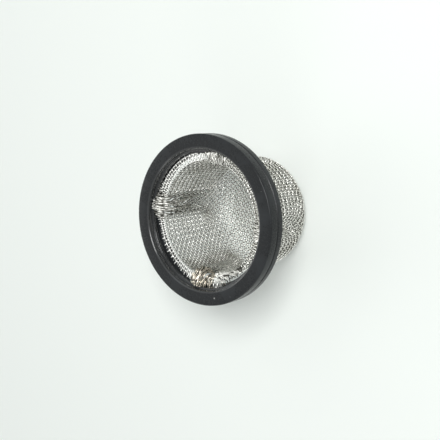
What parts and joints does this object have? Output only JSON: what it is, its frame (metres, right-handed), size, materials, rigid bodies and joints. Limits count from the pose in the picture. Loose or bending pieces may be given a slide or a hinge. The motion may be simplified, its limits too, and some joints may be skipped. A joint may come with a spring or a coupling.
{
  "type": "oil drain plug strainer",
  "caption": "Cup of woven steel wire with a flat bottom and bunched folds at its brim, moulded into a grooved black rubber sealing ring.",
  "frame": {"origin": "middle of the cup's flat bottom, on its outside", "axes": "+Z along the strainer's axis, from the cup's bottom to the open mouth of the ring"},
  "size_m": [0.036, 0.036, 0.0236],
  "materials": {
    "black_rubber": "satin moulded rubber",
    "wire_cloth": "bright drawn wire"
  },
  "bodies": {
    "root": {"rim_ring": "black_rubber", "mesh_cup": "wire_cloth"}
  },
  "joints": []
}
